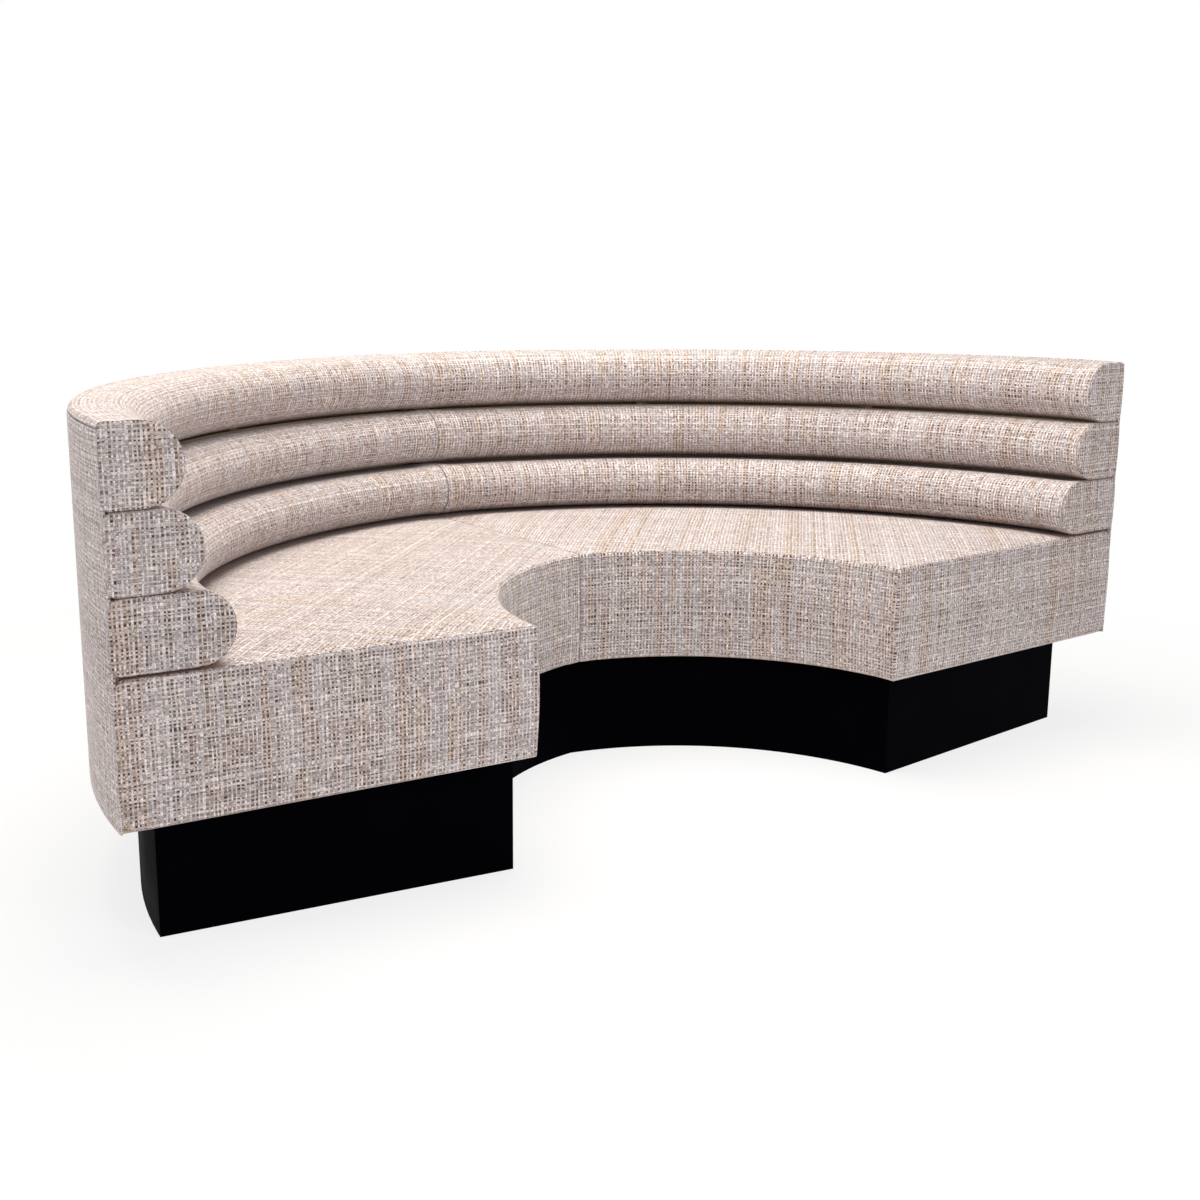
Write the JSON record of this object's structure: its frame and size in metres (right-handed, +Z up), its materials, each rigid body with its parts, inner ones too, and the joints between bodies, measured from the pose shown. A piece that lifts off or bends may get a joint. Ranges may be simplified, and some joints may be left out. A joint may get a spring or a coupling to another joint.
{
  "type": "banquette bench",
  "caption": "Half-round cafe banquette on a recessed black plinth: deep woven-cover seat block and a back of stacked padded rolls, built as mirrored modules joined on a seam.",
  "frame": {"origin": "centre of the bench's box on the floor", "axes": "+Z up, +Y towards the back, +X to the right of someone who faces the back; the centre seam lies in the plane X = 0"},
  "size_m": [2.3164, 1.2182, 0.824],
  "materials": {
    "woven_cover": "chunky multi-colour tweed weave, matt",
    "black_laminate": "black laminate on bent and flat board, satin",
    "plywood": "raw birch plywood",
    "hardwood": "planed beech",
    "foam": "cut upholstery foam",
    "dust_cloth": "black non-woven cloth",
    "steel": "zinc-plated steel"
  },
  "bodies": {
    "bench": {"left_plinth_front_panel": "black_laminate", "right_plinth_front_panel": "black_laminate", "left_plinth_back_panel": "black_laminate", "right_plinth_back_panel": "black_laminate", "left_plinth_end_panel": "black_laminate", "right_plinth_end_panel": "black_laminate", "left_plinth_cross_boards": "plywood", "right_plinth_cross_boards": "plywood", "left_plinth_corner_posts": "hardwood", "right_plinth_corner_posts": "hardwood", "left_seat_base_board": "plywood", "right_seat_base_board": "plywood", "left_seat_front_rail": "plywood", "right_seat_front_rail": "plywood", "left_seat_ribs": "plywood", "right_seat_ribs": "plywood", "left_seat_deck": "plywood", "right_seat_deck": "plywood", "left_seat_side_foam": "foam", "right_seat_side_foam": "foam", "left_seat_foam": "foam", "right_seat_foam": "foam", "left_seat_cover": "woven_cover", "right_seat_cover": "woven_cover", "left_dust_cover": "dust_cloth", "right_dust_cover": "dust_cloth", "left_back_shell": "plywood", "right_back_shell": "plywood", "left_back_posts": "hardwood", "right_back_posts": "hardwood", "left_back_top_rail": "plywood", "right_back_top_rail": "plywood", "left_roll_backers": "plywood", "right_roll_backers": "plywood", "left_roll_end_boards": "plywood", "right_roll_end_boards": "plywood", "left_roll_foams": "foam", "right_roll_foams": "foam", "left_lower_roll_cover": "woven_cover", "right_lower_roll_cover": "woven_cover", "left_middle_roll_cover": "woven_cover", "right_middle_roll_cover": "woven_cover", "left_top_roll_cover": "woven_cover", "right_top_roll_cover": "woven_cover", "left_outer_back_cover": "woven_cover", "right_outer_back_cover": "woven_cover", "tee_nuts": "steel", "base_screws": "steel", "joining_bolts": "steel", "roll_bolts": "steel"},
    "left_foot_inner_end": {"left_foot_inner_end": "steel"},
    "left_foot_outer_end": {"left_foot_outer_end": "steel"},
    "left_foot_inner_seam": {"left_foot_inner_seam": "steel"},
    "left_foot_outer_seam": {"left_foot_outer_seam": "steel"},
    "right_foot_inner_end": {"right_foot_inner_end": "steel"},
    "right_foot_outer_end": {"right_foot_outer_end": "steel"},
    "right_foot_inner_seam": {"right_foot_inner_seam": "steel"},
    "right_foot_outer_seam": {"right_foot_outer_seam": "steel"}
  },
  "joints": [
    {"name": "left_inner_end_foot_height", "type": "slide", "parent": "bench", "child": "left_foot_inner_end", "axis": [0, 0, -1], "range_m": [0, 0.015]},
    {"name": "left_outer_end_foot_height", "type": "slide", "parent": "bench", "child": "left_foot_outer_end", "axis": [0, 0, -1], "range_m": [0, 0.015]},
    {"name": "left_inner_seam_foot_height", "type": "slide", "parent": "bench", "child": "left_foot_inner_seam", "axis": [0, 0, -1], "range_m": [0, 0.015]},
    {"name": "left_outer_seam_foot_height", "type": "slide", "parent": "bench", "child": "left_foot_outer_seam", "axis": [0, 0, -1], "range_m": [0, 0.015]},
    {"name": "right_inner_end_foot_height", "type": "slide", "parent": "bench", "child": "right_foot_inner_end", "axis": [0, 0, -1], "range_m": [0, 0.015]},
    {"name": "right_outer_end_foot_height", "type": "slide", "parent": "bench", "child": "right_foot_outer_end", "axis": [0, 0, -1], "range_m": [0, 0.015]},
    {"name": "right_inner_seam_foot_height", "type": "slide", "parent": "bench", "child": "right_foot_inner_seam", "axis": [0, 0, -1], "range_m": [0, 0.015]},
    {"name": "right_outer_seam_foot_height", "type": "slide", "parent": "bench", "child": "right_foot_outer_seam", "axis": [0, 0, -1], "range_m": [0, 0.015]}
  ]
}
